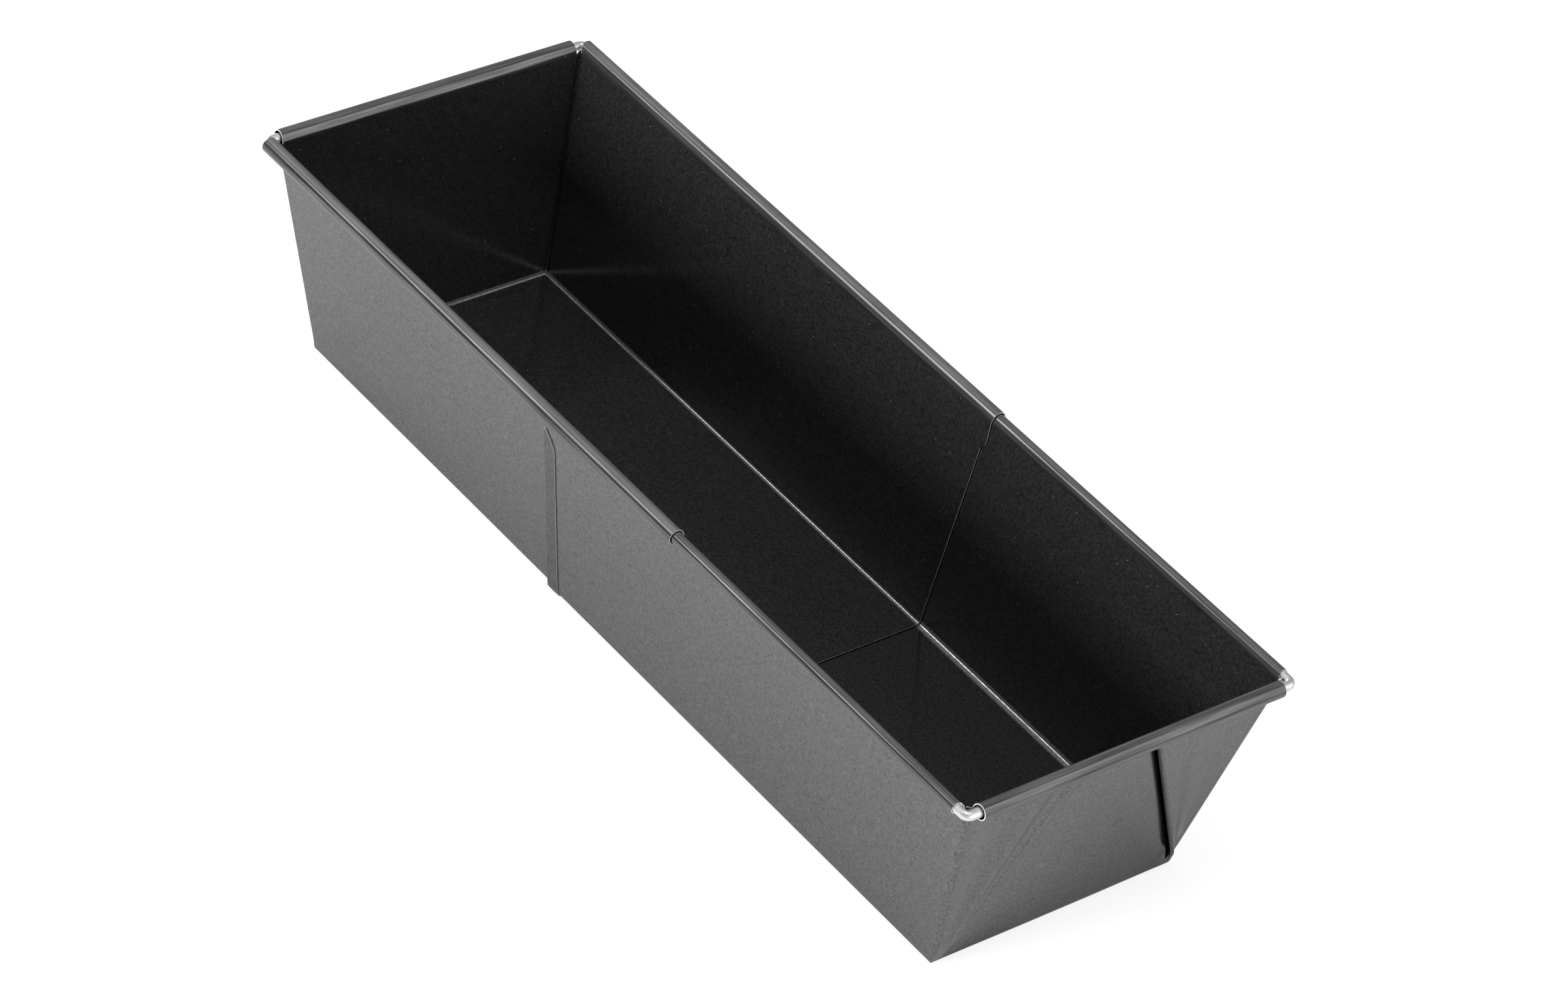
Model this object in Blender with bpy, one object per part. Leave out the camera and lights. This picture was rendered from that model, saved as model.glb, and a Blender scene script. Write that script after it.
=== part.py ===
"""Adjustable loaf pan: two folded sheet-steel trays that slide into each other, each with a rim wire.

Metres, +Z up. The pan's length runs along X: the outer tray's closed end is at +X, the inner tray's at -X.
Z = 0 is the underside of the hem that runs round the outer tray's open end.
"""
import math

import bmesh
import bpy
from mathutils import Vector

# sheet, wire and clearances
SHEET = 0.0003
WIRE_RADIUS = 0.00135
WIRE_CLEARANCE = 0.0001
END_ROLL_CLEARANCE = 0.0007
SLIDE_CLEARANCE = 0.0003
HEM_CLEARANCE = 0.0001

# overall layout, taken along the centre lines of the rim wires
RIM_Z = 0.0696
SIDE_RIM_Y = 0.0550
END_RIM_X = 0.1585
LEAN = math.radians(10.2)

# radii of the rolled rims, measured on the outside of each roll
BEAD_RADIUS = WIRE_RADIUS + WIRE_CLEARANCE + SHEET
SLIDE_ROLL_RADIUS = BEAD_RADIUS + SLIDE_CLEARANCE + SHEET
END_ROLL_RADIUS = WIRE_RADIUS + END_ROLL_CLEARANCE + SHEET
ROLL_STEPS = 24
BEAD_STOP = math.radians(-130)
SLIDE_ROLL_STOP = math.radians(-118)
END_ROLL_STOP = math.radians(-145)

# where the rolls stop short of the corners; the roots lie on the wall, the tips on the roll
ROLL_ROOT_X = END_RIM_X - 0.0032
BEAD_TIP_X = END_RIM_X - 0.0027
SLIDE_ROLL_TIP_X = END_RIM_X - 0.0016
END_ROLL_ROOT_Y = SIDE_RIM_Y - 0.0040
END_ROLL_TIP_Y = SIDE_RIM_Y - 0.0038
NOTCH_Z = RIM_Z - 0.0018
TIP_STEPS = 6

# open ends of the trays, measured from the pan's middle as it stands in the photograph
OUTER_OPEN_X = -0.0268
INNER_OPEN_X = 0.0348
INNER_ROLL_OPEN_X = INNER_OPEN_X + 0.0008
INNER_TAB_X = INNER_OPEN_X + 0.0014

# hem folded back round the outer tray's open end
HEM_RISE = SHEET + HEM_CLEARANCE
HEM_WIDTH = 0.0044
HEM_TOP_WIDTH = 0.0006
HEM_STEPS = 6

# floors, bends and corners
OUTER_FLOOR_Z = HEM_RISE
INNER_FLOOR_Z = OUTER_FLOOR_Z + SHEET + SLIDE_CLEARANCE
OUTER_BEND = 0.0022
INNER_BEND = 0.0014
BEND_STEPS = 7
CORNER_RADIUS = 0.0023
CORNER_TOP_RADIUS = 0.0003
CORNER_LEAST_RADIUS = 0.0001
CORNER_OPENING = 0.020
CORNER_STEPS = 8
DEPTHS_BELOW_RIM = (0.0056, 0.0074, 0.0088, 0.0144, 0.0226)
HEM_TOP_LEVEL = 3
HEM_FULL_LEVEL = 4
INNER_TAB_LEVEL = 2

# folded ears lying on the outside of each end wall, two sheets thick
EAR_PLAY = 0.0001
EAR_THICKNESS = 2 * SHEET + EAR_PLAY
EAR_ROLL_CLEARANCE = 0.0003
EAR_TOP_Z = RIM_Z - END_ROLL_RADIUS - EAR_ROLL_CLEARANCE
EAR_CORNER_TOP_Z = NOTCH_Z - 0.0003
EAR_START = 0.0030
EAR_FULL = 0.0095
EAR_FOOT_INSET = 0.0015
EAR_ROOT_RUN = 0.0003
EAR_EMBED = SHEET / 2
EAR_LOOSE = 0.0002
EAR_SINK = 0.00002
EAR_LEVELS = 14
EAR_FRONT_STEPS = 12
EAR_EDGE_STEPS = 4
RIPPLE_WAVES = 1.25
RIPPLE_FULL = 0.030

# each ear: its side (+1 or -1 in Y), how far its free edge is raised, and the depth of its ripple
OUTER_EARS = ((1, 0.0011, 0.0), (-1, 0.0002, 0.0003))
INNER_EARS = ((1, 0.0004, 0.0), (-1, 0.0003, 0.0002))

# rim wires
WIRE_BEND = 0.0022
WIRE_FACETS = 20
WIRE_BEND_STEPS = 10
OUTER_WIRE_END_X = OUTER_OPEN_X + 0.0010
INNER_WIRE_LEG = 0.0225

SMOOTH_ANGLE = math.radians(24)
TRIANGULATION_SCALE = 1000


def smooth_step(value):
    """Rises smoothly from 0 to 1 while value goes from 0 to 1."""
    value = min(max(value, 0.0), 1.0)
    return value * value * (3 - 2 * value)


class Tray:
    """Sizes of one tray, described with its closed end towards +X."""

    def __init__(self, side_roll_radius, side_roll_stop, side_roll_tip, floor_z, bend):
        self.side_roll_radius = side_roll_radius
        self.side_roll_stop = side_roll_stop
        self.side_roll_tip = side_roll_tip
        self.floor_z = floor_z
        self.bend = bend

    def side_y(self, z):
        """Outer face of the side wall at height z."""
        at_rim = SIDE_RIM_Y - (self.side_roll_radius - SHEET) / math.cos(LEAN)
        return at_rim - (RIM_Z - z) * math.tan(LEAN)

    def end_x(self, z):
        """Outer face of the end wall at height z."""
        at_rim = END_RIM_X - (END_ROLL_RADIUS - SHEET) / math.cos(LEAN)
        return at_rim - (RIM_Z - z) * math.tan(LEAN)

    def corner_radius(self, z):
        """Plan radius of the upright corner, tighter under the rim."""
        share = smooth_step((NOTCH_Z - z) / CORNER_OPENING)
        return CORNER_TOP_RADIUS + (CORNER_RADIUS - CORNER_TOP_RADIUS) * share


class FoldedSheet:
    """A folded sheet kept as points that each hold a pan-side and an outer-side position."""

    def __init__(self):
        self.points = {}
        self.faces = []

    def add(self, key, pan_side, outer_side):
        self.points[key] = (Vector(pan_side), Vector(outer_side))

    def face(self, *keys):
        self.faces.append(keys)

    def solid(self):
        """Gives the sheet its thickness and closes every cut edge."""
        mesh = bmesh.new()
        pan = {}
        outer = {}
        for key, (pan_side, outer_side) in self.points.items():
            pan[key] = mesh.verts.new(pan_side)
            outer[key] = mesh.verts.new(outer_side)
        uses = {}
        for keys in self.faces:
            mesh.faces.new([pan[key] for key in keys])
            mesh.faces.new([outer[key] for key in reversed(keys)])
            for first, second in zip(keys, keys[1:] + keys[:1]):
                uses.setdefault(frozenset((first, second)), []).append((first, second))
        for directions in uses.values():
            if len(directions) == 1:
                first, second = directions[0]
                mesh.faces.new((pan[second], pan[first], outer[first], outer[second]))
        return mesh


def tray_levels():
    """Heights of the rows below the rim row, then the steps of the bend into the floor."""
    rows = [("wall", RIM_Z - depth) for depth in DEPTHS_BELOW_RIM]
    for step in range(BEND_STEPS + 1):
        turn = -LEAN - (math.pi / 2 - LEAN) * step / BEND_STEPS
        rows.append(("bend", turn))
    return rows


def row_shape(tray, row, offset):
    """Half width, end position, corner radius and height of one row, offset in from the outer face."""
    kind, value = row
    if kind == "wall":
        side = tray.side_y(value) - offset * math.cos(LEAN)
        end = tray.end_x(value) - offset * math.cos(LEAN)
        radius = max(tray.corner_radius(value) - offset, CORNER_LEAST_RADIUS)
        return side, end, radius, value + offset * math.sin(LEAN)
    centre_z = tray.floor_z + tray.bend
    reach = (tray.bend - offset) * math.cos(value)
    side = tray.side_y(centre_z) - tray.bend / math.cos(LEAN) + reach
    end = tray.end_x(centre_z) - tray.bend / math.cos(LEAN) + reach
    radius = CORNER_RADIUS - tray.bend + reach / math.cos(LEAN)
    return side, end, radius, centre_z + (tray.bend - offset) * math.sin(value)


def half_outline(tray, row, offset, open_x):
    """Points of one row on the +Y half: open end, roll root, corner arc, end-roll root."""
    side, end, radius, z = row_shape(tray, row, offset)
    root_run = tray.end_x(NOTCH_Z) - CORNER_TOP_RADIUS - ROLL_ROOT_X
    end_run = tray.side_y(NOTCH_Z) - CORNER_TOP_RADIUS - END_ROLL_ROOT_Y
    points = [(open_x, side, z), (end - radius - root_run, side, z)]
    for step in range(CORNER_STEPS + 1):
        turn = math.pi / 2 * (1 - step / CORNER_STEPS)
        x = end - radius + radius * math.cos(turn)
        y = side - radius + radius * math.sin(turn)
        points.append((x, y, z))
    points.append((end, side - radius - end_run, z))
    return points


def rim_outline(tray, offset, open_x):
    """Points of the rim row: roll roots at their tangent height, the corner cut down to the notch."""
    lift = offset * math.sin(LEAN)
    roll_z = RIM_Z + (tray.side_roll_radius - SHEET) * math.sin(LEAN)
    end_z = RIM_Z + (END_ROLL_RADIUS - SHEET) * math.sin(LEAN)
    points = half_outline(tray, ("wall", NOTCH_Z), offset, open_x)
    side = tray.side_y(roll_z) - offset * math.cos(LEAN)
    end = tray.end_x(end_z) - offset * math.cos(LEAN)
    points[0] = (open_x, side, roll_z + lift)
    points[1] = (ROLL_ROOT_X, side, roll_z + lift)
    points[-1] = (end, END_ROLL_ROOT_Y, end_z + lift)
    return points


def build_walls(sheet, tray, open_edge):
    """Adds walls, corners, bends and floor. open_edge gives the open end's X for a row number."""
    rows = tray_levels()
    for number in range(len(rows) + 1):
        halves = []
        for offset in (SHEET, 0.0):
            if number == 0:
                halves.append(rim_outline(tray, offset, open_edge(0)))
            else:
                halves.append(half_outline(tray, rows[number - 1], offset, open_edge(number)))
        for side in (1, -1):
            for column, (pan, outer) in enumerate(zip(*halves)):
                sheet.add((number, column, side), (pan[0], side * pan[1], pan[2]),
                          (outer[0], side * outer[1], outer[2]))
    last_column = CORNER_STEPS + 3
    for number in range(len(rows)):
        for column in range(last_column):
            sheet.face((number, column, 1), (number, column + 1, 1),
                       (number + 1, column + 1, 1), (number + 1, column, 1))
            sheet.face((number, column + 1, -1), (number, column, -1),
                       (number + 1, column, -1), (number + 1, column + 1, -1))
        sheet.face((number, last_column, 1), (number, last_column, -1),
                   (number + 1, last_column, -1), (number + 1, last_column, 1))
    floor_row = len(rows)
    loop = [(floor_row, column, 1) for column in range(last_column + 1)]
    loop += [(floor_row, column, -1) for column in range(last_column, -1, -1)]
    sheet.face(*loop)


def roll_angles(stop):
    """Angles round a roll, from where the wall meets it to its cut edge."""
    start = math.pi - LEAN
    return [start + (stop - start) * step / ROLL_STEPS for step in range(1, ROLL_STEPS + 1)]


def tip_place(root, tip, step):
    """Where a roll's end lies at one step: it runs out from the root to the tip."""
    return root + (tip - root) * smooth_step((step + 1) / TIP_STEPS)


def build_side_rolls(sheet, tray, open_x):
    """Adds the rolled rims of both long sides."""
    for side in (1, -1):
        previous = [(0, 0, side), (0, 1, side)]
        for step, angle in enumerate(roll_angles(tray.side_roll_stop)):
            tip_x = tip_place(ROLL_ROOT_X, tray.side_roll_tip, step)
            current = [("side", step, 0, side), ("side", step, 1, side)]
            for key, x in zip(current, (open_x, tip_x)):
                faces = []
                for radius in (tray.side_roll_radius, tray.side_roll_radius - SHEET):
                    y = SIDE_RIM_Y + radius * math.cos(angle)
                    faces.append((x, side * y, RIM_Z + radius * math.sin(angle)))
                sheet.add(key, *faces)
            order = (current[0], current[1], previous[1], previous[0])
            sheet.face(*(order if side > 0 else reversed(order)))
            previous = current


def build_end_roll(sheet):
    """Adds the rolled rim of the closed end."""
    last_column = CORNER_STEPS + 3
    previous = [(0, last_column, 1), (0, last_column, -1)]
    for step, angle in enumerate(roll_angles(END_ROLL_STOP)):
        tip_y = tip_place(END_ROLL_ROOT_Y, END_ROLL_TIP_Y, step)
        current = [("end", step, 1), ("end", step, -1)]
        for key, y in zip(current, (tip_y, -tip_y)):
            faces = []
            for radius in (END_ROLL_RADIUS, END_ROLL_RADIUS - SHEET):
                x = END_RIM_X + radius * math.cos(angle)
                faces.append((x, y, RIM_Z + radius * math.sin(angle)))
            sheet.add(key, *faces)
        sheet.face(current[0], current[1], previous[1], previous[0])
        previous = current


def build_hem(sheet, tray, fold_x):
    """Folds the outer tray's open end back on itself on the outside, all round."""
    rows = tray_levels()
    inner_radius = HEM_CLEARANCE / 2
    outer_radius = inner_radius + SHEET
    numbers = list(range(HEM_TOP_LEVEL, len(rows) + 1))
    path = [(number, 1) for number in numbers] + [(number, -1) for number in reversed(numbers)]
    previous = [(number, 0, side) for number, side in path]
    turns = [math.pi * step / HEM_STEPS for step in range(1, HEM_STEPS + 1)]
    stations = [(turn, False) for turn in turns] + [(math.pi, True)]
    for column, (turn, at_cut_edge) in enumerate(stations):
        current = []
        for number, side in path:
            kind, value = rows[number - 1]
            slope = -LEAN if kind == "wall" else value
            out = Vector((0, side * math.cos(slope), math.sin(slope)))
            foot = sheet.points[(number, 0, side)][1]
            reach = 0.0
            if at_cut_edge:
                reach = HEM_TOP_WIDTH if number == HEM_TOP_LEVEL else HEM_WIDTH
            spots = []
            for radius in (outer_radius, inner_radius):
                spot = foot + out * (inner_radius - radius * math.cos(turn))
                spot.x = fold_x - radius * math.sin(turn) + reach
                spots.append(spot)
            key = ("hem", column, number, side)
            sheet.add(key, *spots)
            current.append(key)
        for index in range(len(path) - 1):
            sheet.face(current[index], previous[index], previous[index + 1], current[index + 1])
        previous = current


def ear_section(tray, z, side, lift, ripple):
    """Plan outline of one folded ear at height z. lift raises its free edge off the end wall.

    Gives the points of the front, those of the back that lie opposite, and the round free edge.
    Each is first a pair: the depth in from the ear's front, and the distance in from the side wall.
    Where the ear lies on the wall its back is sunk into it, and where it is raised it stands free.
    The slant of the free edge follows from folding the corner of a flat sheet at this lean.
    """
    rise = z - tray.floor_z
    thickness = EAR_THICKNESS * smooth_step(rise / EAR_FULL) / math.cos(LEAN)
    radius = tray.corner_radius(z)
    wrap = radius + thickness
    inner = radius - EAR_EMBED
    side_y = tray.side_y(z)
    fold_angle = math.pi / 4 - 2 * math.atan(math.sin(LEAN))
    foot_y = tray.side_y(tray.floor_z) - EAR_FOOT_INSET
    free_y = foot_y - rise * math.tan(fold_angle) / math.cos(LEAN)

    front = [(wrap + EAR_ROOT_RUN, EAR_SINK)]
    back = [(wrap + 2 * EAR_ROOT_RUN, EAR_EMBED)]
    for step in range(CORNER_STEPS + 1):
        turn = math.pi / 2 * step / CORNER_STEPS
        front.append((wrap - wrap * math.sin(turn), wrap + EAR_SINK - wrap * math.cos(turn)))
        back.append((wrap - inner * math.sin(turn), radius - inner * math.cos(turn)))

    half = thickness / 2
    start_v = wrap + EAR_SINK
    stop_v = side_y - free_y - half
    for step in range(1, EAR_FRONT_STEPS + 1):
        share = step / EAR_FRONT_STEPS
        raised = lift * share ** 3 * smooth_step(rise / EAR_FULL)
        wave = math.sin(share * RIPPLE_WAVES * 2 * math.pi) * share * (1 - share)
        v = start_v + (stop_v - start_v) * share
        front.append((-raised - ripple * wave * smooth_step(rise / RIPPLE_FULL), v))
        back.append((thickness - raised if raised > EAR_LOOSE else thickness + EAR_EMBED, v))

    edge = []
    for step in range(1, EAR_EDGE_STEPS):
        turn = math.pi * step / EAR_EDGE_STEPS
        edge.append((half - half * math.cos(turn) - raised, stop_v + half * math.sin(turn)))

    front_x = tray.end_x(z) + thickness
    return [[Vector((front_x - u, side * (side_y - v), z)) for u, v in points]
            for points in (front, back, edge)]


def build_ear(tray, side, lift, ripple):
    """One folded ear as its own closed solid, ready to be joined to its tray.

    It stops under the end roll, and reaches higher at the corner, which the roll leaves open.
    """
    bottom = tray.floor_z + EAR_START
    at_corner = CORNER_STEPS + 2
    mesh = bmesh.new()
    rings = []
    for level in range(EAR_LEVELS + 1):
        share = level / EAR_LEVELS
        front, back, edge = ear_section(tray, bottom + (EAR_TOP_Z - bottom) * share, side, lift, ripple)
        corner_z = bottom + (EAR_CORNER_TOP_Z - bottom) * share
        corner_front, corner_back, _ = ear_section(tray, corner_z, side, lift, ripple)
        front[:at_corner] = corner_front[:at_corner]
        back[:at_corner] = corner_back[:at_corner]
        rings.append([mesh.verts.new(point) for point in front + edge + back[::-1]])
    count = len(rings[0])
    for lower, upper in zip(rings, rings[1:]):
        for index in range(count):
            following = (index + 1) % count
            mesh.faces.new((lower[index], lower[following], upper[following], upper[index]))
    for ring in (rings[0], rings[-1]):
        for index in range(len(front) - 1):
            opposite = count - 1 - index
            mesh.faces.new((ring[index], ring[index + 1], ring[opposite - 1], ring[opposite]))
        mesh.faces.new(ring[len(front) - 1:count - len(back) + 1])
    return mesh


def finish_mesh(mesh, mirror):
    """Mirrors to the -X side when asked, splits the faces to triangles and turns them outwards.

    The splitting is done at a thousand times the size, where its own tolerances are small enough.
    """
    if mirror:
        for vert in mesh.verts:
            vert.co.x = -vert.co.x
    bmesh.ops.scale(mesh, verts=mesh.verts[:], vec=(TRIANGULATION_SCALE,) * 3)
    bmesh.ops.triangulate(mesh, faces=mesh.faces[:])
    bmesh.ops.recalc_face_normals(mesh, faces=mesh.faces[:])
    bmesh.ops.scale(mesh, verts=mesh.verts[:], vec=(1 / TRIANGULATION_SCALE,) * 3)


def make_object(name, mesh, material, origin=(0, 0, 0)):
    """Writes a bmesh into a named object whose origin is at the given place."""
    bmesh.ops.translate(mesh, verts=mesh.verts[:], vec=-Vector(origin))
    data = bpy.data.meshes.new(name)
    mesh.to_mesh(data)
    mesh.free()
    item = bpy.data.objects.new(name, data)
    item.location = origin
    data.materials.append(material)
    bpy.context.scene.collection.objects.link(item)
    return item


def smooth_round_parts(item):
    """Shades gentle bends smooth and keeps folds and cut edges crisp."""
    mesh = bmesh.new()
    mesh.from_mesh(item.data)
    for face in mesh.faces:
        face.smooth = True
    for edge in mesh.edges:
        edge.smooth = edge.is_manifold and edge.calc_face_angle(0) < SMOOTH_ANGLE
    mesh.to_mesh(item.data)
    mesh.free()


def join_solids(item, others):
    """Joins the other solids to item with exact booleans and removes them."""
    for other in others:
        modifier = item.modifiers.new("join", "BOOLEAN")
        modifier.operation = "UNION"
        modifier.solver = "EXACT"
        modifier.object = other
    depsgraph = bpy.context.evaluated_depsgraph_get()
    joined = bpy.data.meshes.new_from_object(item.evaluated_get(depsgraph))
    item.modifiers.clear()
    old = item.data
    item.data = joined
    joined.name = item.name
    bpy.data.meshes.remove(old)
    for other in others:
        data = other.data
        bpy.data.objects.remove(other)
        bpy.data.meshes.remove(data)


def make_material(name, colour, roughness, metallic):
    material = bpy.data.materials.new(name)
    material.use_nodes = True
    shader = material.node_tree.nodes["Principled BSDF"]
    shader.inputs["Base Color"].default_value = (*colour, 1.0)
    shader.inputs["Roughness"].default_value = roughness
    shader.inputs["Metallic"].default_value = metallic
    material.diffuse_color = (*colour, 1.0)
    return material


def build_tray(name, tray, material, mirror, open_edge, roll_open_x, ears, origin):
    """One tray: folded sheet with rolled rims, hem where it has one, and its two ears."""
    sheet = FoldedSheet()
    build_walls(sheet, tray, open_edge)
    build_side_rolls(sheet, tray, roll_open_x)
    build_end_roll(sheet)
    if not mirror:
        build_hem(sheet, tray, open_edge(HEM_FULL_LEVEL))
    mesh = sheet.solid()
    finish_mesh(mesh, mirror)
    item = make_object(name, mesh, material, origin)
    parts = []
    for side, lift, ripple in ears:
        ear = build_ear(tray, side, lift, ripple)
        finish_mesh(ear, mirror)
        parts.append(make_object(name + "_ear", ear, material, origin))
    join_solids(item, parts)
    smooth_round_parts(item)
    return item


def wire_path(end_x):
    """Centre line of a rim wire from one leg's end, round both corners, to the other leg's end."""
    path = [Vector((end_x, -SIDE_RIM_Y, RIM_Z))]
    centre_x = END_RIM_X - WIRE_BEND
    centre_y = SIDE_RIM_Y - WIRE_BEND
    for side, first_turn in ((-1, -math.pi / 2), (1, 0.0)):
        for step in range(WIRE_BEND_STEPS + 1):
            turn = first_turn + math.pi / 2 * step / WIRE_BEND_STEPS
            x = centre_x + WIRE_BEND * math.cos(turn)
            y = side * centre_y + WIRE_BEND * math.sin(turn)
            path.append(Vector((x, y, RIM_Z)))
    path.append(Vector((end_x, SIDE_RIM_Y, RIM_Z)))
    return path


def build_wire(name, material, mirror, end_x, origin):
    """A round wire bent to a U, swept along its centre line."""
    path = wire_path(end_x)
    mesh = bmesh.new()
    rings = []
    for index, centre in enumerate(path):
        before = path[max(index - 1, 0)]
        after = path[min(index + 1, len(path) - 1)]
        across = (after - before).normalized().cross(Vector((0, 0, 1)))
        ring = []
        for facet in range(WIRE_FACETS):
            turn = 2 * math.pi * facet / WIRE_FACETS
            spoke = across * math.cos(turn) + Vector((0, 0, 1)) * math.sin(turn)
            ring.append(mesh.verts.new(centre + spoke * WIRE_RADIUS))
        rings.append(ring)
    for first, second in zip(rings, rings[1:]):
        for facet in range(WIRE_FACETS):
            following = (facet + 1) % WIRE_FACETS
            mesh.faces.new((first[facet], first[following], second[following], second[facet]))
    mesh.faces.new(rings[0])
    mesh.faces.new(rings[-1])
    finish_mesh(mesh, mirror)
    item = make_object(name, mesh, material, origin)
    smooth_round_parts(item)
    return item


def outer_open_edge(row):
    """Open end of the outer tray: the hem's fold stands where the plain edge would be."""
    if row < HEM_TOP_LEVEL:
        return OUTER_OPEN_X
    return OUTER_OPEN_X + SHEET + HEM_CLEARANCE / 2


def inner_open_edge(row):
    """Open end of the inner tray, described with its closed end towards +X."""
    if row == 0:
        return -INNER_ROLL_OPEN_X
    if row <= INNER_TAB_LEVEL:
        return -INNER_TAB_X
    return -INNER_OPEN_X


def main():
    for item in list(bpy.data.objects):
        bpy.data.objects.remove(item)
    coating = make_material("anthracite_coating", (0.070, 0.072, 0.076), 0.42, 0.35)
    steel = make_material("bare_steel_wire", (0.78, 0.78, 0.77), 0.22, 1.0)

    outer = Tray(BEAD_RADIUS, BEAD_STOP, BEAD_TIP_X, OUTER_FLOOR_Z, OUTER_BEND)
    inner = Tray(SLIDE_ROLL_RADIUS, SLIDE_ROLL_STOP, SLIDE_ROLL_TIP_X, INNER_FLOOR_Z, INNER_BEND)
    slide_origin = (INNER_OPEN_X, 0, INNER_FLOOR_Z)

    build_tray("outer_tray", outer, coating, False, outer_open_edge, OUTER_OPEN_X,
               OUTER_EARS, (0, 0, 0))
    build_wire("outer_tray_rim_wire", steel, False, OUTER_WIRE_END_X, (0, 0, 0))
    build_tray("inner_tray", inner, coating, True, inner_open_edge, -INNER_ROLL_OPEN_X,
               INNER_EARS, slide_origin)
    build_wire("inner_tray_rim_wire", steel, True, END_RIM_X - INNER_WIRE_LEG, slide_origin)


main()
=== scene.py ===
"""Looks of the adjustable loaf pan: two coated folded trays that slide into each other, over rim wires.

Metres, +Z up, in the CAD model's frame. The sizes repeat those of the solids, and every piece that is
made here stands where its solid stands, with finer bends, rolls and folds.
"""
import math

import bmesh
import bpy
from mathutils import Matrix, Vector


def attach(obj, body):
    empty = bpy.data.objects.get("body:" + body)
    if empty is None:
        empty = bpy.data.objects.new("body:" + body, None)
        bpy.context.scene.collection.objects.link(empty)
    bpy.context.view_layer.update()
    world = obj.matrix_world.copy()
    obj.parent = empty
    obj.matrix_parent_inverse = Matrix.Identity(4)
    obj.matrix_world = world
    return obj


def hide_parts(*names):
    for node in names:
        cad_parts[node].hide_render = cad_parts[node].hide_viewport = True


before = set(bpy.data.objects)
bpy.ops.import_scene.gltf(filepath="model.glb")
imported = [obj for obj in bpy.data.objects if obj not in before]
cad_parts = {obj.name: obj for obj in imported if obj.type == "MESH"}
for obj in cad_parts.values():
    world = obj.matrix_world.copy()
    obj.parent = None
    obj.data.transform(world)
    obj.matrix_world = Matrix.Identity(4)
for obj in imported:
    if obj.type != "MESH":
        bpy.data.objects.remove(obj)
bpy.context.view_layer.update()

# sheet, wire and clearances, as in the solids
SHEET = 0.0003
WIRE_RADIUS = 0.00135
WIRE_CLEARANCE = 0.0001
END_ROLL_CLEARANCE = 0.0007
SLIDE_CLEARANCE = 0.0003
HEM_CLEARANCE = 0.0001

# overall layout, taken along the centre lines of the rim wires
RIM_Z = 0.0696
SIDE_RIM_Y = 0.0550
END_RIM_X = 0.1585
LEAN = math.radians(10.2)

# rolled rims
BEAD_RADIUS = WIRE_RADIUS + WIRE_CLEARANCE + SHEET
SLIDE_ROLL_RADIUS = BEAD_RADIUS + SLIDE_CLEARANCE + SHEET
END_ROLL_RADIUS = WIRE_RADIUS + END_ROLL_CLEARANCE + SHEET
ROLL_STEPS = 48
# the wall runs into its roll on a wider curve, which ends where the face has turned by ROOT_TURN
ROOT_WIDER = 0.0020
ROOT_TURN = math.radians(42)
ROOT_EASE = ROOT_WIDER * (1 - math.cos(ROOT_TURN - LEAN)) / math.cos(LEAN)
# where each roll's cut edge lies, as an angle round the roll: 0 faces away from the pan, 90 degrees up
BEAD_STOP = math.radians(-130)
SLIDE_ROLL_STOP = math.radians(-118)
END_ROLL_STOP = math.radians(-145)
# where the rolls stop short of the corners: the roots lie on the wall, the tips on the roll
ROLL_ROOT_X = END_RIM_X - 0.0032
BEAD_TIP_X = END_RIM_X - 0.0040
SLIDE_ROLL_TIP_X = END_RIM_X - 0.0016
END_ROLL_ROOT_Y = SIDE_RIM_Y - 0.0040
END_ROLL_TIP_Y = SIDE_RIM_Y - 0.0042
TIP_STEPS = 10
# top of the sheet between two rolls, behind the bare wire
NOTCH_Z = RIM_Z + 0.0008

# open ends; the inner tray's rolls and the tab below them stand out beyond its plain edge
OUTER_OPEN_X = -0.0268
INNER_OPEN_X = 0.0348
INNER_ROLL_OPEN_X = INNER_OPEN_X + 0.0008
INNER_TAB_X = INNER_OPEN_X + 0.0014
HEM_RISE = SHEET + HEM_CLEARANCE
# width of the hem, and of its first rows from the top, which is cut at a slant
HEM_WIDTH = 0.0044
HEM_SLANT_WIDTHS = (0.0006, 0.0027)
HEM_STEPS = 8

# floors, bends and corners
OUTER_FLOOR_Z = HEM_RISE
INNER_FLOOR_Z = OUTER_FLOOR_Z + SHEET + SLIDE_CLEARANCE
OUTER_BEND = 0.0022
INNER_BEND = 0.0014
BEND_STEPS = 10
# upright corners open from their radius at the notch over CORNER_OPENING, and close over FOOT_HEIGHT
CORNER_TOP_RADIUS = 0.0003
CORNER_LEAST_RADIUS = 0.0001
CORNER_OPENING = 0.006
CORNER_STEPS = 14
FOOT_HEIGHT = 0.0050
# rows of points down a wall, numbered from the rim: under LOWEST_PLAIN_Z they close up to fit the bend
DEPTHS_BELOW_RIM = (0.0056, 0.0074, 0.0088, 0.0114, 0.0144, 0.0182, 0.0226, 0.0310,
                    0.0400, 0.0490, 0.0560, 0.0610, 0.0632, 0.0646, 0.0658, 0.0668)
HEM_TOP_LEVEL = 3
HEM_FULL_LEVEL = 5
INNER_TAB_LEVEL = 2
LOWEST_PLAIN_Z = RIM_Z - 0.0610
# bend below the outer end wall: tight by the corners, easy in the middle, with the wall's foot bulged by it
END_BEND_TIGHT = 0.0014
END_BEND_TIGHT_SHARE = 0.07
END_BEND_EASY = 0.0044
END_BEND_EASY_SHARE = 0.80
END_BULGE_PER_BEND = 0.396
END_BULGE_TOP = 0.050
# plan radius of each upright corner: under the rim, low down and at the foot, by side
OUTER_CORNERS = {1: (0.0007, 0.0050, 0.0008), -1: (0.0013, 0.0006, 0.0008)}
INNER_CORNERS = {1: (0.0005, 0.0005, 0.0008), -1: (0.0006, 0.0009, 0.0003)}
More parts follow.
